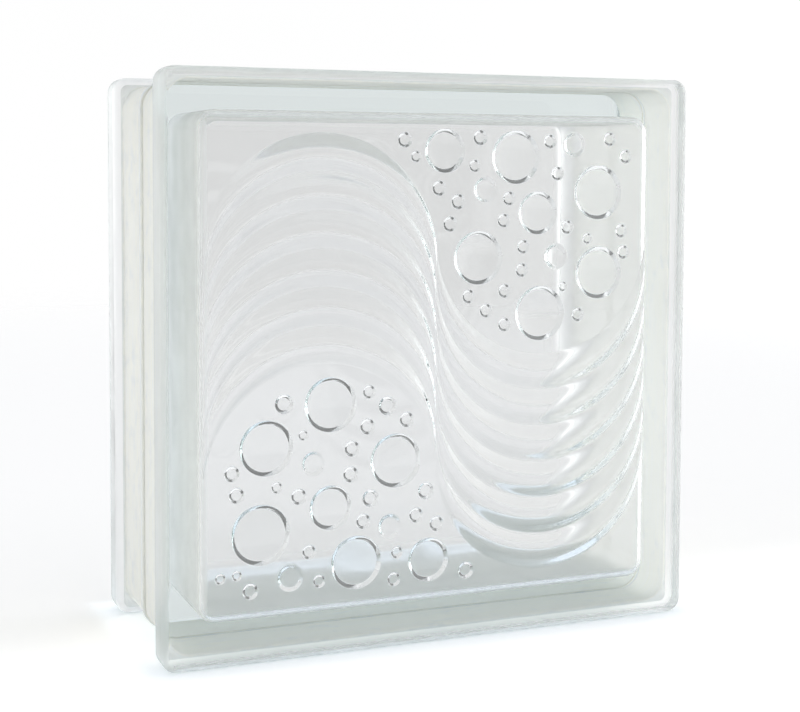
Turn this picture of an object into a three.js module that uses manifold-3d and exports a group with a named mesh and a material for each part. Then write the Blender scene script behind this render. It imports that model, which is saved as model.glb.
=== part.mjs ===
// A hollow glass block: two pressed glass dishes, fused rim to rim.
//
// Units are millimetres. X runs along the width, Y from the front face to the back face, and Z up.
// The origin is on the floor, under the middle of the block.
//
// Each dish is drawn lying on the fusion seam: its x and y run along the width and the height from the
// middle of the block, and its z runs from the seam, at 0, out to the face.

import * as THREE from 'three';
import { mergeVertices } from 'three/addons/utils/BufferGeometryUtils.js';
import Module from 'manifold-3d';

const wasm = await Module();
wasm.setup();

// Whole block
const BLOCK_WIDTH = 190;
const BLOCK_HEIGHT = 190;
const BLOCK_DEPTH = 80;

// Flange round each face
const FLANGE_THICKNESS = 12;
const FLANGE_CORNER_RADIUS = 5;
const FLANGE_EDGE_RADIUS = 2.5;

// Mortar channel between the two flanges
const CHANNEL_DEPTH = 3.5;
const CHANNEL_CORNER_RADIUS = 8;
const CHANNEL_ROOT_SLOPE = 0.9;

// Bead that the fusing squeezes out along the seam
const SEAM_BEAD_HEIGHT = 0.8;
const SEAM_BEAD_WIDTH = 3;

// Glass round the cavity
const WALL_THICKNESS = 9.5;
const FACE_THICKNESS = 8;
const CAVITY_CORNER_RADIUS = 6;
const CAVITY_FRONT_FILLET = 4;
const CAVITY_BACK_FILLET = 2;

// Hollows pressed into the inner side of the front face, with wave lines between them.
// Each wave line is an S of two arcs, and the hollows are deepest where it runs level.
// At a WAVE_ROUNDNESS of 1 the lines are sharp ridges, and above it they are rounded.
const WAVE_COUNT = 6;
const WAVE_PITCH = 12.5;
const WAVE_DEPTH = 2.2;
const WAVE_STEP = 0.05;
const WAVE_ROUNDNESS = 1.3;
const WAVE_SIDE_MARGIN = 1;
const WAVE_TOP_MARGIN = 7;
const WAVE_LEAN = THREE.MathUtils.degToRad(4.3);
const WAVE_END_ANGLE = THREE.MathUtils.degToRad(8);

// Round bubbles that stand out beside the waves: a steep rim, and a low dome inside it.
// Middle-sized bubbles have a soft rim.
const RIM_HEIGHT = 1.6;
const RIM_SHARE = 0.42;
const RIM_SLOPE = THREE.MathUtils.degToRad(51);
const SOFT_LEAST_RADIUS = 4;
const SOFT_GREATEST_RADIUS = 5;
const SOFT_RIM_SHARE = 0.18;
const SOFT_RIM_SLOPE = THREE.MathUtils.degToRad(34);
const CROWN_HEIGHT = 0.7;
const CROWN_RADIUS = 10;

// Bubbles in the upper right: distance from the right wall, distance from the top wall, radius
const UPPER_BUBBLES = [
  [79, 12.5, 7.5], [52.5, 14.5, 9.2], [44, 33.5, 7.5], [66.5, 48.5, 9.2],
  [43, 68, 9.5], [20.5, 26.5, 9.5], [20, 54.5, 9.2],
  [64, 25.5, 4.7], [37, 48.5, 4.7], [30, 10, 4.5],
  [93.5, 9, 2.7], [89.5, 14.5, 2], [66, 8, 2.7], [68, 17.5, 2.2], [81, 25, 2.7],
  [74, 29.5, 2.7], [77, 37, 2.7], [55, 28.5, 2.5], [57, 36, 2.5], [32.5, 38.5, 2.5],
  [49.5, 45, 2.5], [50, 53, 2.5], [70, 61.5, 2.5], [63.5, 66.5, 2.5], [56.5, 60, 2.5],
  [56.5, 71.5, 2.5], [34, 59, 1.8], [28, 69, 2.5], [39.5, 9, 2.5], [36.5, 20, 2.5],
  [16, 8, 2.5], [9.5, 14, 2.5], [24.5, 42.5, 2], [11, 40, 2.5], [10, 47.5, 2.5],
];

// Bubbles in the lower left: distance from the left wall, distance from the bottom wall, radius
const LOWER_BUBBLES = [
  [44.5, 68.5, 9.2], [22.5, 55.5, 9.2], [20.5, 27.5, 10], [67.5, 48.5, 9.2],
  [44.5, 34.5, 7.5], [53.5, 15.5, 9], [79.5, 14, 7.5],
  [38.5, 49.5, 4.3], [65.5, 26.5, 4.5], [30.5, 12.5, 4.7], [28.5, 69.5, 3.3], [64.5, 67, 3.3],
  [58, 72, 2.4], [71.5, 62, 2.7], [57.5, 60.5, 2.8], [52, 53.5, 2.8], [51.5, 45, 2.8],
  [35, 59, 1.8], [11, 48, 2.7], [12.5, 41, 2.7], [26, 42.5, 2], [33.5, 39, 2.8],
  [58.5, 36.5, 3], [56, 29, 2.7], [75, 29.5, 2.7], [78.5, 37.5, 3], [82.5, 26, 2.7],
  [37, 20.5, 2.5], [68, 17.5, 2.2], [67, 8.5, 2.5], [40.5, 10.5, 2.3], [17, 9.5, 2.8],
  [7, 14.5, 1.9], [12.5, 15, 1.8], [93.5, 9, 3],
];

// How finely curves are divided
const CORNER_SEGMENTS = 6;
const EDGE_SEGMENTS = 3;
const WAVE_ARC_SEGMENTS = 16;
const ROWS_PER_WAVE = 6;
const BUBBLE_LEAST_SEGMENTS = 8;

// Added shapes reach this far into what carries them, and cutters this far past what they cut
const OVERLAP = 1;

// Sizes that follow from those above
const SEAM_TO_FACE = BLOCK_DEPTH / 2;
const SEAM_TO_FLANGE = SEAM_TO_FACE - FLANGE_THICKNESS;
const SEAM_TO_PANEL = SEAM_TO_FACE - FACE_THICKNESS;
const WALL_WIDTH = BLOCK_WIDTH - 2 * CHANNEL_DEPTH;
const WALL_HEIGHT = BLOCK_HEIGHT - 2 * CHANNEL_DEPTH;
const CAVITY_WIDTH = WALL_WIDTH - 2 * WALL_THICKNESS;
const CAVITY_HEIGHT = WALL_HEIGHT - 2 * WALL_THICKNESS;

// Turns a closed three.js geometry into a solid that can be joined and cut.
function toSolid(geometry) {
  const shell = new THREE.BufferGeometry();
  shell.setAttribute('position', geometry.getAttribute('position'));
  shell.setIndex(geometry.index);
  const merged = mergeVertices(shell);
  return new wasm.Manifold(new wasm.Mesh({
    numProp: 3,
    vertProperties: merged.getAttribute('position').array,
    triVerts: Uint32Array.from(merged.index.array),
  }));
}

function toGeometry(body) {
  const mesh = body.getMesh();
  const geometry = new THREE.BufferGeometry();
  geometry.setAttribute('position', new THREE.BufferAttribute(mesh.vertProperties, 3));
  geometry.setIndex(new THREE.BufferAttribute(mesh.triVerts, 1));
  geometry.computeVertexNormals();
  return geometry;
}

function roundedRectangle(width, height, radius) {
  const x = width / 2 - radius;
  const y = height / 2 - radius;
  const quarter = Math.PI / 2;
  const outline = new THREE.Shape();
  outline.absarc(x, y, radius, 0, quarter);
  outline.absarc(-x, y, radius, quarter, 2 * quarter);
  outline.absarc(-x, -y, radius, 2 * quarter, 3 * quarter);
  outline.absarc(x, -y, radius, 3 * quarter, 4 * quarter);
  return outline;
}

// A slab between two heights. The edges of both its faces are rounded, or sloped if segments is 1.
function slab(outline, low, high, edge = 0, segments = EDGE_SEGMENTS) {
  const geometry = new THREE.ExtrudeGeometry(outline, {
    depth: high - low - 2 * edge,
    curveSegments: CORNER_SEGMENTS,
    bevelEnabled: edge > 0,
    bevelThickness: edge,
    bevelSize: edge,
    bevelOffset: -edge,
    bevelSegments: segments,
  });
  geometry.translate(0, 0, low + edge);
  return toSolid(geometry);
}

// The plain pressed dish: face, flange, side walls and cavity.
function dish(cavityFillet) {
  const flangeOutline = roundedRectangle(BLOCK_WIDTH, BLOCK_HEIGHT, FLANGE_CORNER_RADIUS);
  const wallOutline = roundedRectangle(WALL_WIDTH, WALL_HEIGHT, CHANNEL_CORNER_RADIUS);
  const rootOutline = roundedRectangle(
    WALL_WIDTH + 2 * CHANNEL_ROOT_SLOPE,
    WALL_HEIGHT + 2 * CHANNEL_ROOT_SLOPE,
    CHANNEL_CORNER_RADIUS + CHANNEL_ROOT_SLOPE,
  );
  const beadOutline = roundedRectangle(
    WALL_WIDTH + 2 * SEAM_BEAD_HEIGHT,
    WALL_HEIGHT + 2 * SEAM_BEAD_HEIGHT,
    CHANNEL_CORNER_RADIUS + SEAM_BEAD_HEIGHT,
  );
  const cavityOutline = roundedRectangle(CAVITY_WIDTH, CAVITY_HEIGHT, CAVITY_CORNER_RADIUS);

  const flange = slab(flangeOutline, SEAM_TO_FLANGE, SEAM_TO_FACE, FLANGE_EDGE_RADIUS);
  const wall = slab(wallOutline, 0, SEAM_TO_FLANGE + OVERLAP);
  const root = slab(
    rootOutline,
    SEAM_TO_FLANGE - CHANNEL_ROOT_SLOPE,
    SEAM_TO_FLANGE + CHANNEL_ROOT_SLOPE + OVERLAP,
    CHANNEL_ROOT_SLOPE,
    1,
  );
  const bead = slab(beadOutline, 0, SEAM_BEAD_WIDTH / 2);
  const cavity = slab(cavityOutline, -cavityFillet - OVERLAP, SEAM_TO_PANEL, cavityFillet);
  return flange.add(wall).add(root).add(bead).subtract(cavity);
}

// Points along the topmost wave line, left to right: a crest arc, then a trough arc that carries on from it.
// run is how far the line goes sideways for each millimetre of its length.
function waveLine() {
  const radius = CAVITY_WIDTH / 4 - WAVE_SIDE_MARGIN / 2;
  const crestCentre = new THREE.Vector2(
    -radius * Math.cos(WAVE_LEAN),
    CAVITY_HEIGHT / 2 - WAVE_TOP_MARGIN - radius,
  );
  const troughCentre = new THREE.Vector2(
    radius * Math.cos(WAVE_LEAN),
    crestCentre.y + 2 * radius * Math.sin(WAVE_LEAN),
  );
  const sweep = Math.PI - WAVE_END_ANGLE - WAVE_LEAN;
  const points = [];
  for (let i = 0; i <= WAVE_ARC_SEGMENTS; i++) {
    const angle = Math.PI - WAVE_END_ANGLE - sweep * i / WAVE_ARC_SEGMENTS;
    points.push({
      x: crestCentre.x + radius * Math.cos(angle),
      y: crestCentre.y + radius * Math.sin(angle),
      run: Math.sin(angle),
    });
  }
  for (let i = 1; i <= WAVE_ARC_SEGMENTS; i++) {
    const angle = Math.PI + WAVE_LEAN + sweep * i / WAVE_ARC_SEGMENTS;
    points.push({
      x: troughCentre.x + radius * Math.cos(angle),
      y: troughCentre.y + radius * Math.sin(angle),
      run: -Math.sin(angle),
    });
  }
  return points;
}

// The air in all the hollows as one band: a finely divided box, bent along the wave line.
function hollows() {
  const line = waveLine();
  const columns = line.length - 1;
  const rows = WAVE_COUNT * ROWS_PER_WAVE;
  const geometry = new THREE.BoxGeometry(1, 1, 1, columns, rows, 1);
  const position = geometry.getAttribute('position');
  for (let i = 0; i < position.count; i++) {
    const point = line[Math.round((position.getX(i) + 0.5) * columns)];
    const row = Math.round((0.5 - position.getY(i)) * rows);
    const across = (row % ROWS_PER_WAVE) / ROWS_PER_WAVE;
    const depth = WAVE_STEP + WAVE_DEPTH * point.run * Math.sin(Math.PI * across) ** WAVE_ROUNDNESS;
    const isInFace = position.getZ(i) > 0;
    position.setXYZ(
      i,
      point.x,
      point.y - row * WAVE_PITCH / ROWS_PER_WAVE,
      SEAM_TO_PANEL + (isInFace ? depth : -OVERLAP),
    );
  }
  return toSolid(geometry);
}

// A low round dome with a steep or soft rim, standing on the inner side of the face.
function bubble(x, y, radius) {
  const isSoft = radius >= SOFT_LEAST_RADIUS && radius <= SOFT_GREATEST_RADIUS;
  const slope = isSoft ? SOFT_RIM_SLOPE : RIM_SLOPE;
  const shoulder = Math.min(RIM_HEIGHT, (isSoft ? SOFT_RIM_SHARE : RIM_SHARE) * radius);
  const inner = radius - shoulder / Math.tan(slope);
  const crown = CROWN_HEIGHT * (radius / CROWN_RADIUS) ** 2;
  const profile = [
    new THREE.Vector2(0, -OVERLAP - WAVE_DEPTH),
    new THREE.Vector2(radius, -OVERLAP - WAVE_DEPTH),
    new THREE.Vector2(radius, 0),
    new THREE.Vector2(inner, shoulder),
    new THREE.Vector2(inner / 2, shoulder + crown * 3 / 4),
    new THREE.Vector2(0, shoulder + crown),
  ];
  const geometry = new THREE.LatheGeometry(profile, BUBBLE_LEAST_SEGMENTS + Math.round(radius));
  geometry.rotateX(-Math.PI / 2);
  geometry.translate(x, y, SEAM_TO_PANEL);
  return toSolid(geometry);
}

function bubbles() {
  const right = CAVITY_WIDTH / 2;
  const top = CAVITY_HEIGHT / 2;
  const upper = UPPER_BUBBLES.map(([fromRight, fromTop, radius]) => {
    return bubble(right - fromRight, top - fromTop, radius);
  });
  const lower = LOWER_BUBBLES.map(([fromLeft, fromBottom, radius]) => {
    return bubble(fromLeft - right, fromBottom - top, radius);
  });
  return [...upper, ...lower].reduce((joined, next) => joined.add(next));
}

// Presses the waves and the bubbles into the inner side of the dish's face, between the cavity's walls.
function pressed(body) {
  const panelOutline = roundedRectangle(CAVITY_WIDTH, CAVITY_HEIGHT, CAVITY_CORNER_RADIUS);
  const panel = slab(panelOutline, 0, SEAM_TO_FACE - OVERLAP);
  return body.subtract(hollows().intersect(panel)).add(bubbles().intersect(panel));
}

function glass() {
  return new THREE.MeshStandardMaterial({
    color: 0xdfe8e6,
    roughness: 0.04,
    metalness: 0,
    transparent: true,
    opacity: 0.35,
  });
}

function half(name, body, turn) {
  const mesh = new THREE.Mesh(toGeometry(body), glass());
  mesh.name = name;
  mesh.rotation.set(Math.PI / 2, 0, 0);
  const placed = new THREE.Group();
  placed.rotation.z = turn;
  placed.position.z = BLOCK_HEIGHT / 2;
  placed.add(mesh);
  return placed;
}

const block = new THREE.Group();
block.add(half('front_half', pressed(dish(CAVITY_FRONT_FILLET)), 0));
block.add(half('back_half', dish(CAVITY_BACK_FILLET), Math.PI));

export default block;
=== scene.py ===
import math

import bmesh
import bpy
from bpy.props import FloatProperty, FloatVectorProperty, IntProperty, PointerProperty
from mathutils import Matrix, Vector


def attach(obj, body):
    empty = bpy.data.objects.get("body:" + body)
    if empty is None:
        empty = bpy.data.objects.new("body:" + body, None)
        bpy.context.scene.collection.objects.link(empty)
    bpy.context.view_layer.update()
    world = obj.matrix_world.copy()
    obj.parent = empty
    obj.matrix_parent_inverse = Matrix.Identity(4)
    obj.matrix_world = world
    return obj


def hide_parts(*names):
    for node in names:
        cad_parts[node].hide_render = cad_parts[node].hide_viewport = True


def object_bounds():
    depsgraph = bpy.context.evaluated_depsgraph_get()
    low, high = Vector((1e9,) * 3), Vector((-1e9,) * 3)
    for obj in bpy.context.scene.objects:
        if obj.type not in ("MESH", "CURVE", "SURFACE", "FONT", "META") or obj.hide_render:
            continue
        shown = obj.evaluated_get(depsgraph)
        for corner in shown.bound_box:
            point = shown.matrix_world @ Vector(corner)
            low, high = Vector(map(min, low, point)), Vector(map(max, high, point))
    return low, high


bl_info = {
    "name": "Glass Block",
    "version": (1, 0, 0),
    "blender": (4, 5, 0),
    "location": "View3D > Sidebar > Glass Block",
    "description": "A hollow block of clear pressed glass with waves and bubbles inside its front face",
    "category": "Add Mesh",
}

# The block is fused from these two pressed halves, which the finished glass stands for.
# X runs along the width, Y from the front face to the back face, and Z up. Lengths are in metres.
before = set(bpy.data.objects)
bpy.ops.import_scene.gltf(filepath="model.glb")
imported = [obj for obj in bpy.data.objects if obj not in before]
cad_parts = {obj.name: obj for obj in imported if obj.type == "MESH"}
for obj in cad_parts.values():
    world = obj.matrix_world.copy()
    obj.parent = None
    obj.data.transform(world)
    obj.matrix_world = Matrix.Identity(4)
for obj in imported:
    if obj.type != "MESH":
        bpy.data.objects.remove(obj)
CAD_LOW, CAD_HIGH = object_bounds()
FRONT_HALF = "front_half"
BACK_HALF = "back_half"
BODY = "root"

MM = 0.001
TINY = 0.01 * MM

# Shapes that are joined, or cut out of each other, reach this far past the surface where they meet.
OVERLAP = 1 * MM

# How finely curves are divided.
CORNER_SEGMENTS = 10
EDGE_SEGMENTS = 8
ROOT_SEGMENTS = 5
WAVE_COLUMNS = 200
ROWS_PER_WAVE = 16
BUBBLE_LEAST_SEGMENTS = 24
BUBBLE_SEGMENTS_PER_MM = 4
RIM_FILLET_STEPS = 4
CROWN_STEPS = 6
FLOOR_SEGMENTS = 96

# Shares of the height of the seam bead and of a bubble's rim that the rounding of each edge may take up.
BEAD_ROUNDING_SHARE = 0.95
RIM_FILLET_SHARE = 0.45

# The dome inside a bubble of this radius has the full crown height.
CROWN_RADIUS = 10 * MM

# Faces that meet at more than this angle keep a sharp edge between them.
SHARP_ANGLE = math.radians(50)

# With the most weight, the largest of the faces round a point sets its normal alone.
MOST_WEIGHT = 100

# Where the film of paint lies: at 1 all of it is outside the glass, and at -1 all of it is inside.
FILM_OFFSET = 0.6

# How the finishes vary: the matt and satin glass with its swells, and the paint with its grains and streaks.
GLASS_LEAST_WEAR = 0.7
GLASS_WEAR_SPREAD = 0.6
PAINT_LEAST_ROUGHNESS = 0.6
PAINT_ROUGHNESS_SPREAD = 0.3
PAINT_DETAIL = 3.0
PAINT_BLOT = 8 * MM
PAINT_SCATTER = 2 * MM
STREAK_LENGTH = 30 * MM
STREAK_SLIMNESS = 16.0

FLOOR_ROUGHNESS = 0.9

# How narrowly the shade above and in front is gathered. Higher is narrower.
SHADE_FOCUS = 2.0

# Bubbles in the upper right: distance from the right wall, distance from the top wall, radius, in mm.
UPPER_BUBBLES = [
    (79, 12.5, 7.5), (52.5, 14.5, 9.2), (44, 33.5, 7.5), (66.5, 48.5, 9.2),
    (43, 68, 9.5), (20.5, 26.5, 9.5), (20, 54.5, 9.2),
    (64, 25.5, 4.7), (37, 48.5, 4.7), (30, 10, 4.5),
    (93.5, 9, 2.7), (89.5, 14.5, 2), (66, 8, 2.7), (68, 17.5, 2.2), (81, 25, 2.7),
    (74, 29.5, 2.7), (77, 37, 2.7), (55, 28.5, 2.5), (57, 36, 2.5), (32.5, 38.5, 2.5),
    (49.5, 45, 2.5), (50, 53, 2.5), (70, 61.5, 2.5), (63.5, 66.5, 2.5), (56.5, 60, 2.5),
    (56.5, 71.5, 2.5), (34, 59, 1.8), (28, 69, 2.5), (39.5, 9, 2.5), (36.5, 20, 2.5),
    (16, 8, 2.5), (9.5, 14, 2.5), (24.5, 42.5, 2), (11, 40, 2.5), (10, 47.5, 2.5),
]

# Bubbles in the lower left: distance from the left wall, distance from the bottom wall, radius, in mm.
LOWER_BUBBLES = [
    (44.5, 68.5, 9.2), (22.5, 55.5, 9.2), (20.5, 27.5, 10), (67.5, 48.5, 9.2),
    (44.5, 34.5, 7.5), (53.5, 15.5, 9), (79.5, 14, 7.5),
    (38.5, 49.5, 4.3), (65.5, 26.5, 4.5), (30.5, 12.5, 4.7), (28.5, 69.5, 3.3), (64.5, 67, 3.3),
    (58, 72, 2.4), (71.5, 62, 2.7), (57.5, 60.5, 2.8), (52, 53.5, 2.8), (51.5, 45, 2.8),
    (35, 59, 1.8), (11, 48, 2.7), (12.5, 41, 2.7), (26, 42.5, 2), (33.5, 39, 2.8),
    (58.5, 36.5, 3), (56, 29, 2.7), (75, 29.5, 2.7), (78.5, 37.5, 3), (82.5, 26, 2.7),
    (37, 20.5, 2.5), (68, 17.5, 2.2), (67, 8.5, 2.5), (40.5, 10.5, 2.3), (17, 9.5, 2.8),
    (7, 14.5, 1.9), (12.5, 15, 1.8), (93.5, 9, 3),
]


def length(name, description, millimetres):
    return FloatProperty(
        name=name,
        description=description,
        default=millimetres * MM,
        min=0.0,
        unit="LENGTH",
        subtype="DISTANCE",
        precision=5,
    )


def angle(name, description, degrees):
    return FloatProperty(name=name, description=description, default=math.radians(degrees), subtype="ANGLE")


def number(name, description, default, least=0.0):
    return FloatProperty(name=name, description=description, default=default, min=least)


def colour(name, description, default):
    return FloatVectorProperty(
        name=name, description=description, default=default, min=0.0, max=1.0, size=3, subtype="COLOR"
    )


class GlassBlockSizes(bpy.types.PropertyGroup):
    """Sizes of the plain pressed block"""

    flange_thickness: length("Flange thickness", "Depth of the rim round each face", 12)
    flange_corner: length("Flange corner radius", "Rounding of the face's four corners", 5)
    flange_edge: length("Flange edge radius", "Rounding along the edges of each flange", 2.5)
    channel_depth: length("Channel depth", "How far the mortar channel lies inside the flanges", 3.5)
    channel_corner: length("Channel corner radius", "Rounding of the channel at the block's corners", 8)
    channel_root: length("Channel root fillet", "Fillet between the channel and each flange", 0.9)
    bead_height: length("Seam bead height", "How far the fused seam stands out", 0.8)
    bead_width: length("Seam bead width", "Width of the fused seam", 3)
    wall: length("Wall thickness", "Glass between the channel and the cavity", 9.5)
    face: length("Face thickness", "Glass between the face and the cavity", 8)
    cavity_corner: length("Cavity corner radius", "Rounding of the cavity's four long edges", 6)
    cavity_fillet: length("Front fillet", "Fillet between the front face and the walls, inside", 4)
    cavity_back_fillet: length("Back fillet", "Fillet between the back face and the walls, inside", 2)


class GlassBlockRelief(bpy.types.PropertyGroup):
    """Sizes of the waves and bubbles inside the front face"""

    wave_count: IntProperty(name="Waves", description="Number of hollows", default=6, min=1)
    wave_pitch: length("Wave pitch", "Height from one wave line to the next", 12.5)
    wave_depth: length("Wave depth", "How far each hollow is pressed into the face", 2.2)
    wave_step: length("Wave step", "How far the field of waves lies below the plain face", 0.05)
    wave_roundness: number("Wave roundness", "1 leaves a sharp ridge between hollows, more rounds it", 1.3)
    wave_side: length("Wave side margin", "Gap between the waves and the side walls", 1)
    wave_top: length("Wave top margin", "Gap between the first wave line and the top wall", 7)
    wave_lean: angle("Wave lean", "How far the line through the middles of the two arcs is tipped", 4.3)
    wave_end: angle("Wave end angle", "Part of each half turn that the arcs leave off at the sides", 8)
    rim_height: length("Bubble rim height", "Height of the steep rim of the bubbles", 1.6)
    rim_share: number("Bubble rim share", "Greatest height of the rim for the bubble's radius", 0.42)
    rim_slope: angle("Bubble rim slope", "Steepness of the rim", 51)
    rim_fillet: length("Bubble rim fillet", "Rounding at the foot of the rim and at its shoulder", 0.3)
    bubble_crown: length("Bubble crown", "Height of the low dome inside the rim of the largest bubbles", 0.7)
    soft_least: length("Least soft bubble", "Bubbles of this radius and more have a soft rim", 4)
    soft_most: length("Greatest soft bubble", "Bubbles of more than this radius have a steep rim again", 5)
    soft_share: number("Soft rim share", "Height of a soft rim for the bubble's radius", 0.18)
    soft_slope: angle("Soft rim slope", "Steepness of a soft rim", 34)
    soft_fillet: length("Soft rim fillet", "Rounding at the foot of a soft rim and at its shoulder", 1)


class GlassBlockFinish(bpy.types.PropertyGroup):
    """Finish of the glass and of the coating on its edges"""

    glass_colour: colour("Glass surface tint", "Loss of light at each pressed surface", (0.905, 0.905, 0.905))
    rim_roughness: number("Rim roughness", "Of the matt edges of the flanges", 0.6)
    wall_roughness: number("Wall roughness", "Of the satin walls inside", 0.45)
    waviness: length("Waviness", "Height of the faint swells that pressing leaves in the glass", 0.03)
    swell: length("Swell", "Distance from one faint swell to the next", 14)
    absorption_colour: colour("Glass tint", "Colour that thick glass tends to", (0.05, 0.40, 0.40))
    absorption_density: number("Tint density", "Strength of the tint for each metre of glass", 2.32)
    ior: number("Index of refraction", "Of soda-lime glass", 1.52)
    coating_colour: colour("Edge coating", "Cream-white paint in the mortar channel", (0.95, 0.92, 0.72))
    coating_pale: colour("Pale streaks", "Where the paint lies thicker", (0.96, 0.94, 0.82))
    coating_thin: colour("Thin coating", "Where the paint thins out towards the flanges", (0.74, 0.77, 0.75))
    coating_thickness: length("Coating thickness", "Thickness of the paint film", 0.2)
    coating_edge: length("Coating edge", "How unevenly the paint thins out", 1.6)
    grain: length("Coating grain", "Size of the grains in the paint", 0.9)
    grain_height: length("Grain height", "How far the grains stand out", 0.05)


class GlassBlockStage(bpy.types.PropertyGroup):
    """Camera, light and floor"""

    sensor_width: number("Sensor width", "Of the camera, in mm", 36)
    lens: number("Lens", "Focal length in mm", 65.62)
    shift_right: number("Shift right", "Of the lens, as a share of the picture's width", 0.0435)
    shift_up: number("Shift up", "Of the lens, as a share of the picture's width", -0.1283, least=-1.0)
    camera_place: FloatVectorProperty(
        name="Camera place",
        description="Where the camera stands",
        default=(-0.20115, -0.47809, 0.15706),
        subtype="TRANSLATION",
        unit="LENGTH",
        precision=5,
    )
    azimuth: angle("View azimuth", "Turn of the view from the front, towards +X", -21.61)
    elevation: angle("View elevation", "Tip of the view from level", 3.16)
    roll: angle("View roll", "Turn about the line of sight", 0.151)
    floor_colour: colour("Floor", "Pale floor", (0.875, 0.86, 0.85))
    floor_radius: length("Floor radius", "Where the floor has faded into the surroundings", 1600)
    floor_clear: length("Full floor radius", "Where the floor starts to fade", 500)
    contact: length("Contact shadow", "Width of the soft edge of the shadow under the block", 12)
    glow_colour: colour("Glow colour", "Colour of the light that rises through the floor", (0.99, 0.99, 1.0))
    sky_colour: colour("Sky colour", "Colour of the light from above", (0.90, 0.95, 1.0))
    below_colour: colour("Colour below", "Colour of the light that rises under the block", (0.80, 0.90, 1.0))
    glow_ahead: number("Glow in front", "Light that rises through the floor", 0.45)
    glow_behind: number("Glow behind", "The same, behind the block", 0.2)
    glow_below: number("Glow under the block", "The same, under the block", 0.39)
    room: number("Room light", "Strength of the light from all sides", 1.0)
    left_light: number("Left light", "Extra strength of the light from the left", 0.6)
    right_light: number("Right light", "Extra strength of the light from the right", 2.8)
    side_focus: number("Side focus", "How narrow the side lights are", 8.0)
    top_shade: number("Top shade", "Share of the light that is missing above", 0.15)
    front_shade: number("Front shade", "Share of the light that is missing in front", 0.9)


# ---------------------------------------------------------------- modelling helpers


def block_size():
    return CAD_HIGH - CAD_LOW


def block_middle():
    return (CAD_LOW + CAD_HIGH) / 2


def deselect_all():
    bpy.ops.object.select_all(action="DESELECT")


def activate(piece):
    deselect_all()
    piece.select_set(True)
    bpy.context.view_layer.objects.active = piece


def edit(piece):
    activate(piece)
    bpy.ops.object.mode_set(mode="EDIT")


def leave_edit():
    bpy.ops.object.mode_set(mode="OBJECT")


def select_edges(piece, wanted):
    """Selects each edge of the mesh in edit mode whose two ends together pass the test."""
    bpy.ops.mesh.select_mode(type="EDGE")
    bpy.ops.mesh.select_all(action="DESELECT")
    mesh = bmesh.from_edit_mesh(piece.data)
    for edge in mesh.edges:
        edge.select_set(wanted([vertex.co for vertex in edge.verts]))
    mesh.select_flush_mode()
    bmesh.update_edit_mesh(piece.data)


def select_faces(piece, wanted):
    """Selects each face of the mesh in edit mode whose corners together pass the test."""
    bpy.ops.mesh.select_mode(type="FACE")
    bpy.ops.mesh.select_all(action="DESELECT")
    mesh = bmesh.from_edit_mesh(piece.data)
    for face in mesh.faces:
        face.select_set(wanted([vertex.co for vertex in face.verts]))
    mesh.select_flush_mode()
    bmesh.update_edit_mesh(piece.data)


def bevel_selected(radius, segments):
    bpy.ops.mesh.bevel(offset=radius, segments=segments, affect="EDGES", clamp_overlap=False)


def apply_place(piece):
    activate(piece)
    bpy.ops.object.transform_apply(location=True, rotation=True, scale=True)


def apply_modifier(piece, kind, **settings):
    activate(piece)
    bpy.ops.object.modifier_add(type=kind)
    modifier = piece.modifiers[-1]
    for name, value in settings.items():
        setattr(modifier, name, value)
    bpy.ops.object.modifier_apply(modifier=modifier.name)


def combine(piece, other, operation, crossing_itself=False):
    """Joins other to piece or cuts it away, and uses other up."""
    for mesh, chosen in ((piece.data, False), (other.data, True)):
        for items in (mesh.vertices, mesh.edges, mesh.polygons):
            items.foreach_set("select", [chosen] * len(items))
    activate(piece)
    other.select_set(True)
    bpy.ops.object.join()
    bpy.ops.object.mode_set(mode="EDIT")
    bpy.ops.mesh.select_mode(type="FACE")
    bpy.ops.mesh.intersect_boolean(operation=operation, use_self=crossing_itself, solver="EXACT")
    leave_edit()


def join(pieces, name):
    activate(pieces[0])
    for piece in pieces[1:]:
        piece.select_set(True)
    bpy.ops.object.join()
    pieces[0].name = pieces[0].data.name = name
    return pieces[0]


def slab(name, width, height, low, high, corner, roundings):
    """A slab with rounded corners from y=low to y=high. Its outline at each end has a rounding of its own."""
    middle = block_middle()
    bpy.ops.mesh.primitive_cube_add(
        size=1.0,
        location=(middle.x, (low + high) / 2, middle.z),
        scale=(width, high - low, height),
    )
    piece = bpy.context.object
    piece.name = piece.data.name = name
    apply_place(piece)
    edit(piece)
    select_edges(piece, lambda ends: abs(ends[0].y - ends[1].y) > TINY)
    bevel_selected(corner, CORNER_SEGMENTS)
    for y, radius in zip((low, high), roundings):
        if radius > 0:
            select_edges(piece, lambda ends: all(abs(co.y - y) < TINY for co in ends))
            bevel_selected(radius, EDGE_SEGMENTS)
    leave_edit()
    return piece


# ---------------------------------------------------------------- the plain block


def wall_size(sizes):
    size = block_size()
    return size.x - 2 * sizes.channel_depth, size.z - 2 * sizes.channel_depth


def cavity_size(sizes):
    width, height = wall_size(sizes)
    return width - 2 * sizes.wall, height - 2 * sizes.wall


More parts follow.
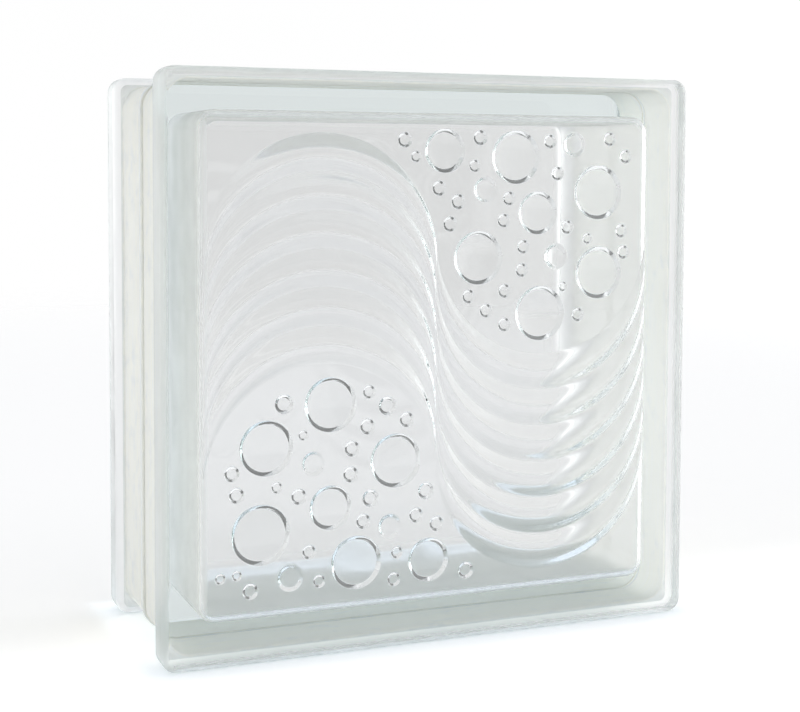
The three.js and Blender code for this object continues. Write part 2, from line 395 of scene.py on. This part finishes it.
def outer_skin(sizes):
    """The fused block from outside: two flanges, the channel between them and the seam bead."""
    size = block_size()
    front, back = CAD_LOW.y, CAD_HIGH.y
    wall_width, wall_height = wall_size(sizes)
    seam = (front + back) / 2
    flange_back = front + sizes.flange_thickness
    flange_front = back - sizes.flange_thickness
    reach = sizes.flange_thickness / 4  # how far the walls reach into each flange, to fuse with it
    rounding = (sizes.flange_edge, sizes.flange_edge)
    skin = slab("glass_block", size.x, size.z, front, flange_back, sizes.flange_corner, rounding)
    rear = slab("rear", size.x, size.z, flange_front, back, sizes.flange_corner, rounding)
    walls = slab(
        "walls",
        wall_width,
        wall_height,
        flange_back - reach,
        flange_front + reach,
        sizes.channel_corner,
        (0, 0),
    )
    bead = slab(
        "bead",
        wall_width + 2 * sizes.bead_height,
        wall_height + 2 * sizes.bead_height,
        seam - sizes.bead_width / 2,
        seam + sizes.bead_width / 2,
        sizes.channel_corner + sizes.bead_height,
        (sizes.bead_height * BEAD_ROUNDING_SHARE,) * 2,
    )
    combine(walls, bead, "UNION")
    combine(skin, walls, "UNION")
    combine(skin, rear, "UNION")

    middle = block_middle()

    def at_root(co, flange):
        inside_x = abs(co.x - middle.x) < wall_width / 2 + TINY
        inside_z = abs(co.z - middle.z) < wall_height / 2 + TINY
        return abs(co.y - flange) < TINY and inside_x and inside_z

    edit(skin)
    for flange in (flange_back, flange_front):
        select_edges(skin, lambda ends: all(at_root(co, flange) for co in ends))
        bevel_selected(sizes.channel_root, ROOT_SEGMENTS)
    leave_edit()
    return skin


def cavity(sizes):
    """The air inside, as a solid."""
    width, height = cavity_size(sizes)
    return slab(
        "cavity",
        width,
        height,
        CAD_LOW.y + sizes.face,
        CAD_HIGH.y - sizes.face,
        sizes.cavity_corner,
        (sizes.cavity_fillet, sizes.cavity_back_fillet),
    )


# ---------------------------------------------------------------- the relief


def wave_band(sizes, relief):
    """The air in all the hollows as one closed band: a grid bent along the S of two arcs.

    Its rows lie closest at the wave lines, where the glass turns most.
    """
    width, height = cavity_size(sizes)
    middle = block_middle()
    panel = CAD_LOW.y + sizes.face
    radius = width / 4 - relief.wave_side / 2
    lean = relief.wave_lean
    crest = Vector((-radius * math.cos(lean), height / 2 - relief.wave_top - radius))
    trough = Vector((radius * math.cos(lean), crest.y + 2 * radius * math.sin(lean)))
    sweep = math.pi - relief.wave_end - lean
    rows = relief.wave_count * ROWS_PER_WAVE
    bpy.ops.mesh.primitive_grid_add(x_subdivisions=WAVE_COLUMNS, y_subdivisions=rows, size=1.0)
    band = bpy.context.object
    band.name = "waves"
    for vertex in band.data.vertices:
        along = 2 * (vertex.co.x + 0.5)
        row = round((0.5 - vertex.co.y) * rows)
        if along <= 1:
            turn = math.pi - relief.wave_end - sweep * along
            centre, run = crest, math.sin(turn)
        else:
            turn = math.pi + lean + sweep * (along - 1)
            centre, run = trough, -math.sin(turn)
        across = (1 - math.cos(math.pi * (row % ROWS_PER_WAVE) / ROWS_PER_WAVE)) / 2
        hollow = math.sin(math.pi * across) ** relief.wave_roundness
        down = (row // ROWS_PER_WAVE + across) * relief.wave_pitch
        vertex.co = (
            middle.x + centre.x + radius * math.cos(turn),
            panel - relief.wave_step - relief.wave_depth * run * hollow,
            middle.z + centre.y + radius * math.sin(turn) - down,
        )
    edit(band)
    bpy.ops.mesh.select_all(action="SELECT")
    bpy.ops.mesh.quads_convert_to_tris(quad_method="SHORTEST_DIAGONAL")
    bpy.ops.mesh.extrude_region_move(TRANSFORM_OT_translate={"value": (0, OVERLAP, 0)})
    mesh = bmesh.from_edit_mesh(band.data)
    for vertex in mesh.verts:
        if vertex.select:
            vertex.co.y = panel + OVERLAP
    bmesh.update_edit_mesh(band.data)
    bpy.ops.mesh.dissolve_faces()
    bpy.ops.mesh.select_all(action="SELECT")
    bpy.ops.mesh.normals_make_consistent(inside=False)
    leave_edit()
    return band


def bubble_profile(relief, radius):
    """Distance from the axis and height of each ring of a bubble from its foot up, and its full height."""
    soft = relief.soft_least <= radius <= relief.soft_most
    slope = relief.soft_slope if soft else relief.rim_slope
    share = relief.soft_share if soft else relief.rim_share
    height = min(relief.rim_height, share * radius)
    fillet = relief.soft_fillet if soft else relief.rim_fillet
    fillet = min(fillet, RIM_FILLET_SHARE * height / (1 - math.cos(slope)))
    round_height = fillet * (1 - math.cos(slope))
    round_width = fillet * math.sin(slope)
    inner = radius - 2 * round_width - (height - 2 * round_height) / math.tan(slope)
    rings = []
    for i in range(RIM_FILLET_STEPS + 1):
        turn = slope * i / RIM_FILLET_STEPS
        rings.append((radius - fillet * math.sin(turn), fillet * (1 - math.cos(turn))))
    for i in range(RIM_FILLET_STEPS, -1, -1):
        turn = slope * i / RIM_FILLET_STEPS
        rings.append((inner + fillet * math.sin(turn), height - fillet * (1 - math.cos(turn))))
    crown = relief.bubble_crown * (radius / CROWN_RADIUS) ** 2
    for i in range(1, CROWN_STEPS):
        rest = 1 - i / CROWN_STEPS
        rings.append((inner * rest, height + crown * (1 - rest**2)))
    return rings, height + crown


def bubble(relief, panel, radius):
    """A round dome on the middle line, drawn up ring by ring from the inner side of the face."""
    rings, rise = bubble_profile(relief, radius)
    bpy.ops.mesh.primitive_circle_add(
        vertices=BUBBLE_LEAST_SEGMENTS + BUBBLE_SEGMENTS_PER_MM * round(radius / MM),
        radius=radius,
        fill_type="NGON",
        location=(0, panel - OVERLAP, 0),
        rotation=(-math.pi / 2, 0, 0),
    )
    piece = bpy.context.object
    apply_place(piece)
    edit(piece)
    bpy.ops.mesh.select_all(action="SELECT")
    reach, level = radius, -OVERLAP
    for ring_reach, height in rings:
        bpy.ops.mesh.extrude_region_move(TRANSFORM_OT_translate={"value": (0, height - level, 0)})
        scale = ring_reach / reach
        bpy.ops.transform.resize(value=(scale, 1, scale), center_override=(0, panel + height, 0))
        reach, level = ring_reach, height
    bpy.ops.mesh.extrude_region_move(TRANSFORM_OT_translate={"value": (0, rise - level, 0)})
    bpy.ops.mesh.merge(type="COLLAPSE")
    bpy.ops.mesh.select_all(action="SELECT")
    bpy.ops.mesh.normals_make_consistent(inside=False)
    leave_edit()
    return piece


def bubbles(sizes, relief):
    """All the bubbles. Each size is modelled once and copied to its places."""
    width, height = cavity_size(sizes)
    middle = block_middle()
    panel = CAD_LOW.y + sizes.face
    right, top = middle.x + width / 2, middle.z + height / 2
    left, bottom = middle.x - width / 2, middle.z - height / 2
    places = [(right - across * MM, top - down * MM, radius) for across, down, radius in UPPER_BUBBLES]
    places += [(left + across * MM, bottom + up * MM, radius) for across, up, radius in LOWER_BUBBLES]
    made = []
    for radius in sorted({place[2] for place in places}):
        pattern = bubble(relief, panel, radius * MM)
        for x, z, _ in [place for place in places if place[2] == radius]:
            copy = pattern.copy()
            copy.data = pattern.data.copy()
            copy.location = (x, 0, z)
            bpy.context.collection.objects.link(copy)
            apply_place(copy)
            made.append(copy)
        bpy.data.objects.remove(pattern)
    return join(made, "bubbles")


def smooth(glass, sizes):
    """Smooths the glass. Outside the hollows each normal follows the largest face, so flat glass is clear."""
    activate(glass)
    bpy.ops.object.shade_smooth_by_angle(angle=SHARP_ANGLE)
    middle = block_middle()
    width, height = cavity_size(sizes)
    panel = CAD_LOW.y + sizes.face

    def in_hollow(co):
        beside = abs(co.x - middle.x) > width / 2 or abs(co.z - middle.z) > height / 2
        return not beside and CAD_LOW.y + TINY < co.y < panel - TINY

    flats = glass.vertex_groups.new(name="flats")
    flats.add([vertex.index for vertex in glass.data.vertices if not in_hollow(vertex.co)], 1.0, "REPLACE")
    apply_modifier(
        glass,
        "WEIGHTED_NORMAL",
        mode="FACE_AREA",
        weight=MOST_WEIGHT,
        keep_sharp=True,
        vertex_group=flats.name,
    )
    glass.vertex_groups.clear()


# ---------------------------------------------------------------- materials


def new_material(name):
    material = bpy.data.materials.new(name)
    material.use_nodes = True
    tree = material.node_tree
    return material, tree, tree.nodes["Principled BSDF"]


def add_node(tree, kind, *inputs, **settings):
    """Adds a node, sets it up, and gives each input a value or a link. None leaves an input alone."""
    node = tree.nodes.new(kind)
    for name, value in settings.items():
        setattr(node, name, value)
    for socket, value in zip(node.inputs, inputs):
        if isinstance(value, bpy.types.NodeSocket):
            tree.links.new(value, socket)
        elif value is not None:
            socket.default_value = value
    return node


def compute(tree, operation, *inputs):
    return add_node(tree, "ShaderNodeMath", *inputs, operation=operation).outputs["Value"]


def compute_vector(tree, operation, *inputs, output="Vector"):
    return add_node(tree, "ShaderNodeVectorMath", *inputs, operation=operation).outputs[output]


def object_place(tree):
    return add_node(tree, "ShaderNodeTexCoord").outputs["Object"]


def distance_from_middle(tree):
    """How far a point lies from the middle of the block along each axis."""
    centred = add_node(tree, "ShaderNodeMapping", object_place(tree), tuple(-block_middle()))
    return compute_vector(tree, "ABSOLUTE", centred.outputs["Vector"])


def fade(tree, distance, start, end, first, last):
    """A soft step from one value at the start to another at the end."""
    inputs = (distance, start, end, first, last)
    return add_node(tree, "ShaderNodeMapRange", *inputs, interpolation_type="SMOOTHSTEP").outputs["Result"]


def blend(tree, factor, first, second):
    """A colour between two others, each a colour or a link."""
    node = tree.nodes.new("ShaderNodeMix")
    node.data_type = "RGBA"
    tree.links.new(factor, node.inputs["Factor"])
    ends = [socket for socket in node.inputs if socket.type == "RGBA"]
    for socket, value in zip(ends, (first, second)):
        if isinstance(value, bpy.types.NodeSocket):
            tree.links.new(value, socket)
        else:
            socket.default_value = (*value, 1)
    return next(output for output in node.outputs if output.type == "RGBA")


def noise(tree, place, size, detail=0.0):
    """Soft noise from 0 to 1 with features of the given size."""
    return add_node(tree, "ShaderNodeTexNoise", place, None, 1 / size, detail).outputs["Fac"]


def bump(tree, shader, height, depth):
    """Lets a height from 0 to 1 stand out of the surface by up to the given depth."""
    node = tree.nodes.new("ShaderNodeBump")
    node.inputs["Distance"].default_value = depth
    tree.links.new(height, node.inputs["Height"])
    tree.links.new(node.outputs["Normal"], shader.inputs["Normal"])


def glass_material(finish, sizes):
    """Clear pressed glass. The edges of the flanges are matt, and the walls are satin inside and out."""
    material, tree, shader = new_material("pressed_glass")
    shader.inputs["Base Color"].default_value = (*finish.glass_colour, 1)
    shader.inputs["IOR"].default_value = finish.ior
    shader.inputs["Transmission Weight"].default_value = 1.0

    # The matt finish sets in where the edges of the flanges start to turn.
    size = block_size()
    axes = add_node(tree, "ShaderNodeSeparateXYZ", distance_from_middle(tree)).outputs
    reach = compute(tree, "MAXIMUM", axes["X"], axes["Z"])
    rim = size.x / 2
    matt = fade(tree, reach, rim - sizes.flange_edge, rim - sizes.flange_edge / 2, 0.0, finish.rim_roughness)

    # The satin finish sets in on the fillets of the cavity, and keeps off the outer sides of the faces.
    wall = cavity_size(sizes)[0] / 2
    fillet = sizes.cavity_fillet
    near_wall = fade(tree, reach, wall - fillet, wall - fillet / 2, 0.0, finish.wall_roughness)
    face = size.y / 2 - sizes.face
    within = fade(tree, axes["Y"], face + sizes.face / 8, face + sizes.face / 2, 1.0, 0.0)
    satin = compute(tree, "MULTIPLY", near_wall, within)

    swells = noise(tree, object_place(tree), finish.swell)
    worn = compute(tree, "MULTIPLY_ADD", swells, GLASS_WEAR_SPREAD, GLASS_LEAST_WEAR)
    roughness = compute(tree, "MULTIPLY", compute(tree, "MAXIMUM", matt, satin), worn)
    tree.links.new(roughness, shader.inputs["Roughness"])
    bump(tree, shader, swells, finish.waviness)
    absorption = tree.nodes.new("ShaderNodeVolumeAbsorption")
    absorption.inputs["Color"].default_value = (*finish.absorption_colour, 1)
    absorption.inputs["Density"].default_value = finish.absorption_density
    tree.links.new(absorption.outputs["Volume"], tree.nodes["Material Output"].inputs["Volume"])
    return material


def coating_material(finish, sizes):
    """Grainy cream paint, brushed on along the channel, and thin and pale on the sides of the flanges."""
    material, tree, shader = new_material("cream_key_coating")
    place = object_place(tree)
    brushed = compute_vector(tree, "MULTIPLY", place, (1.0, STREAK_SLIMNESS, 1.0))
    streaks = noise(tree, brushed, STREAK_LENGTH, PAINT_DETAIL)
    grains = noise(tree, place, finish.grain, PAINT_DETAIL)
    paint = blend(tree, streaks, finish.coating_colour, finish.coating_pale)
    roughness = compute(tree, "MULTIPLY_ADD", grains, PAINT_ROUGHNESS_SPREAD, PAINT_LEAST_ROUGHNESS)
    tree.links.new(roughness, shader.inputs["Roughness"])
    bump(tree, shader, grains, finish.grain_height)

    # The paint thins out beyond the channel's rounded outline, more here and less there.
    corner = sizes.channel_corner
    straight = wall_size(sizes)[0] / 2 - corner
    outwards = compute_vector(tree, "SUBTRACT", distance_from_middle(tree), (straight, 0.0, straight))
    outwards = compute_vector(tree, "MAXIMUM", outwards, (0.0, 0.0, 0.0))
    outwards = compute_vector(tree, "MULTIPLY", outwards, (1.0, 0.0, 1.0))
    beyond = compute(tree, "SUBTRACT", compute_vector(tree, "LENGTH", outwards, output="Value"), corner)
    blots = noise(tree, place, PAINT_BLOT, PAINT_DETAIL)
    uneven = compute(tree, "MULTIPLY_ADD", blots, finish.coating_edge, beyond)
    end = sizes.channel_root + finish.coating_edge / 2
    thinness = fade(tree, uneven, end - sizes.channel_root, end, 0.0, 1.0)
    tree.links.new(blend(tree, thinness, paint, finish.coating_thin), shader.inputs["Base Color"])
    shader.subsurface_method = "RANDOM_WALK"
    shader.inputs["Subsurface Weight"].default_value = 1.0
    shader.inputs["Subsurface Radius"].default_value = (1, 1, 1)
    shader.inputs["Subsurface Scale"].default_value = PAINT_SCATTER
    return material


# ---------------------------------------------------------------- operators


class GLASSBLOCK_OT_glass(bpy.types.Operator):
    """Model the fused glass block with its cavity and its pressed relief"""

    bl_idname = "glassblock.glass"
    bl_label = "Glass"

    def execute(self, context):
        sizes = context.scene.glassblock_sizes
        relief = context.scene.glassblock_relief
        finish = context.scene.glassblock_finish
        skin = outer_skin(sizes)
        air = cavity(sizes)
        combine(air, wave_band(sizes, relief), "UNION")
        combine(air, bubbles(sizes, relief), "DIFFERENCE", crossing_itself=True)
        # Turned inside out, the surface of the air bounds the glass from within.
        edit(air)
        bpy.ops.mesh.select_all(action="SELECT")
        bpy.ops.mesh.flip_normals()
        leave_edit()
        glass = join([skin, air], "glass_block")
        smooth(glass, sizes)
        glass.data.materials.clear()
        glass.data.materials.append(glass_material(finish, sizes))
        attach(glass, BODY)
        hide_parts(FRONT_HALF, BACK_HALF)
        return {"FINISHED"}


class GLASSBLOCK_OT_coating(bpy.types.Operator):
    """Model the thin cream coating on the mortar channel and on the flanges' sides next to it"""

    bl_idname = "glassblock.coating"
    bl_label = "Edge coating"

    def execute(self, context):
        sizes = context.scene.glassblock_sizes
        finish = context.scene.glassblock_finish
        glass = bpy.data.objects["glass_block"]
        middle = block_middle()
        cavity_width, cavity_height = cavity_size(sizes)
        reach = block_size().y / 2 - sizes.flange_thickness + TINY

        def in_channel(co):
            inside_x = abs(co.x - middle.x) < cavity_width / 2 + TINY
            inside_z = abs(co.z - middle.z) < cavity_height / 2 + TINY
            return abs(co.y - middle.y) <= reach and not (inside_x and inside_z)

        edit(glass)
        select_faces(glass, lambda corners: all(in_channel(co) for co in corners))
        bpy.ops.mesh.duplicate()
        bpy.ops.mesh.separate(type="SELECTED")
        leave_edit()
        film = next(piece for piece in context.selected_objects if piece is not glass)
        film.name = film.data.name = "edge_coating"
        # The film was cut from the glass, and gives up what was declared of it.
        film.parent = None
        for mark in [key for key in film.keys() if key.startswith("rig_")]:
            del film[mark]
        apply_modifier(film, "SOLIDIFY", thickness=finish.coating_thickness, offset=FILM_OFFSET)
        film.data.materials.clear()
        film.data.materials.append(coating_material(finish, sizes))
        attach(film, BODY)
        return {"FINISHED"}


def floor_material(stage):
    """Pale matt floor, lit from below, less under the block, and fading out into the surroundings."""
    material, tree, shader = new_material("pale_floor")
    shader.inputs["Base Color"].default_value = (*stage.floor_colour, 1)
    shader.inputs["Roughness"].default_value = FLOOR_ROUGHNESS
    place = object_place(tree)
    distance = compute_vector(tree, "LENGTH", place, output="Value")
    axes = add_node(tree, "ShaderNodeSeparateXYZ", place).outputs

    half = block_size() / 2
    beside = compute(tree, "SUBTRACT", compute(tree, "ABSOLUTE", axes["X"]), half.x)
    before = compute(tree, "SUBTRACT", compute(tree, "ABSOLUTE", axes["Y"]), half.y)
    away = fade(tree, compute(tree, "MAXIMUM", beside, before), 0.0, stage.contact, 0.0, 1.0)
    clear_glow = fade(tree, axes["Y"], -half.y, half.y, stage.glow_ahead, stage.glow_behind)
    glow = fade(tree, away, 0.0, 1.0, stage.glow_below, clear_glow)
    tree.links.new(glow, shader.inputs["Emission Strength"])
    tree.links.new(blend(tree, away, stage.below_colour, stage.glow_colour), shader.inputs["Emission Color"])
    cover = fade(tree, distance, stage.floor_clear, stage.floor_radius, 1.0, 0.0)
    clear = add_node(tree, "ShaderNodeBsdfTransparent").outputs["BSDF"]
    mixed = add_node(tree, "ShaderNodeMixShader", cover, clear, shader.outputs["BSDF"])
    tree.links.new(mixed.outputs["Shader"], tree.nodes["Material Output"].inputs["Surface"])
    return material


def studio_world(stage):
    """Even light from all round, brighter from both sides, weaker from above and from the front."""
    world = bpy.data.worlds.new("studio")
    world.use_nodes = True
    tree = world.node_tree
    direction = add_node(tree, "ShaderNodeTexCoord").outputs["Generated"]

    def towards(x, y, z, focus):
        """1 in the given direction, less beside it, and 0 from a right angle on."""
        nearness = compute_vector(tree, "DOT_PRODUCT", direction, (x, y, z), output="Value")
        return compute(tree, "POWER", compute(tree, "MAXIMUM", nearness, 0.0), focus)

    right = towards(1.0, 0.0, 0.0, stage.side_focus)
    left = towards(-1.0, 0.0, 0.0, stage.side_focus)
    above = towards(0.0, 0.0, 1.0, SHADE_FOCUS)
    ahead = towards(0.0, -1.0, 0.0, SHADE_FOCUS)
    shade_ahead = compute(tree, "MULTIPLY", ahead, stage.front_shade)
    shade = compute(tree, "MULTIPLY_ADD", above, stage.top_shade, shade_ahead)
    even = compute(tree, "MULTIPLY", compute(tree, "SUBTRACT", 1.0, shade), stage.room)
    lit_right = compute(tree, "MULTIPLY_ADD", right, stage.right_light, even)
    strength = compute(tree, "MULTIPLY_ADD", left, stage.left_light, lit_right)
    background = tree.nodes["Background"]
    tree.links.new(blend(tree, above, (1, 1, 1), stage.sky_colour), background.inputs["Color"])
    tree.links.new(strength, background.inputs["Strength"])
    return world


class GLASSBLOCK_OT_stage(bpy.types.Operator):
    """Set up the floor, the light and the camera"""

    bl_idname = "glassblock.stage"
    bl_label = "Stage"

    def execute(self, context):
        stage = context.scene.glassblock_stage
        scene = context.scene
        camera_data = bpy.data.cameras.new("camera")
        camera = bpy.data.objects.new("camera", camera_data)
        scene.collection.objects.link(camera)
        scene.camera = camera
        camera_data.sensor_width = stage.sensor_width
        camera_data.lens = stage.lens
        camera_data.shift_x = stage.shift_right
        camera_data.shift_y = stage.shift_up
        level = math.cos(stage.elevation)
        towards_camera = Vector(
            (math.sin(stage.azimuth) * level, -math.cos(stage.azimuth) * level, math.sin(stage.elevation))
        )
        turn = (-towards_camera).to_track_quat("-Z", "Y")
        camera.matrix_world = (
            Matrix.Translation(stage.camera_place)
            @ turn.to_matrix().to_4x4()
            @ Matrix.Rotation(stage.roll, 4, "Z")
        )

        deselect_all()
        bpy.ops.mesh.primitive_circle_add(
            vertices=FLOOR_SEGMENTS, radius=stage.floor_radius, fill_type="NGON"
        )
        floor = context.object
        floor.name = "floor"
        floor.data.materials.append(floor_material(stage))

        scene.world = studio_world(stage)
        scene.view_settings.view_transform = "Standard"
        # Light passes through many glass surfaces, and its fine highlights stay sharp.
        scene.cycles.blur_glossy = 0
        scene.cycles.max_bounces = 12
        scene.cycles.transmission_bounces = 12
        scene.cycles.glossy_bounces = 8
        scene.cycles.diffuse_bounces = 3
        return {"FINISHED"}


class GLASSBLOCK_PT_panel(bpy.types.Panel):
    """Lists the steps that build the block"""

    bl_idname = "GLASSBLOCK_PT_panel"
    bl_label = "Glass Block"
    bl_space_type = "VIEW_3D"
    bl_region_type = "UI"
    bl_category = "Glass Block"

    def draw(self, context):
        scene = context.scene
        for operator in OPERATORS:
            self.layout.operator(operator.bl_idname)
        for name, group in GROUPS.items():
            column = self.layout.column(align=True)
            column.label(text=group.__doc__)
            for setting in group.__annotations__:
                column.prop(getattr(scene, name), setting)


GROUPS = {
    "glassblock_sizes": GlassBlockSizes,
    "glassblock_relief": GlassBlockRelief,
    "glassblock_finish": GlassBlockFinish,
    "glassblock_stage": GlassBlockStage,
}
OPERATORS = (GLASSBLOCK_OT_stage, GLASSBLOCK_OT_glass, GLASSBLOCK_OT_coating)


def register():
    for group in GROUPS.values():
        bpy.utils.register_class(group)
    for operator in OPERATORS:
        bpy.utils.register_class(operator)
    bpy.utils.register_class(GLASSBLOCK_PT_panel)
    for name, group in GROUPS.items():
        setattr(bpy.types.Scene, name, PointerProperty(type=group))


def unregister():
    for name in GROUPS:
        delattr(bpy.types.Scene, name)
    bpy.utils.unregister_class(GLASSBLOCK_PT_panel)
    for operator in reversed(OPERATORS):
        bpy.utils.unregister_class(operator)
    for group in reversed(list(GROUPS.values())):
        bpy.utils.unregister_class(group)


def main():
    register()
    bpy.ops.glassblock.stage()
    bpy.ops.glassblock.glass()
    bpy.ops.glassblock.coating()


if __name__ == "__main__":
    main()
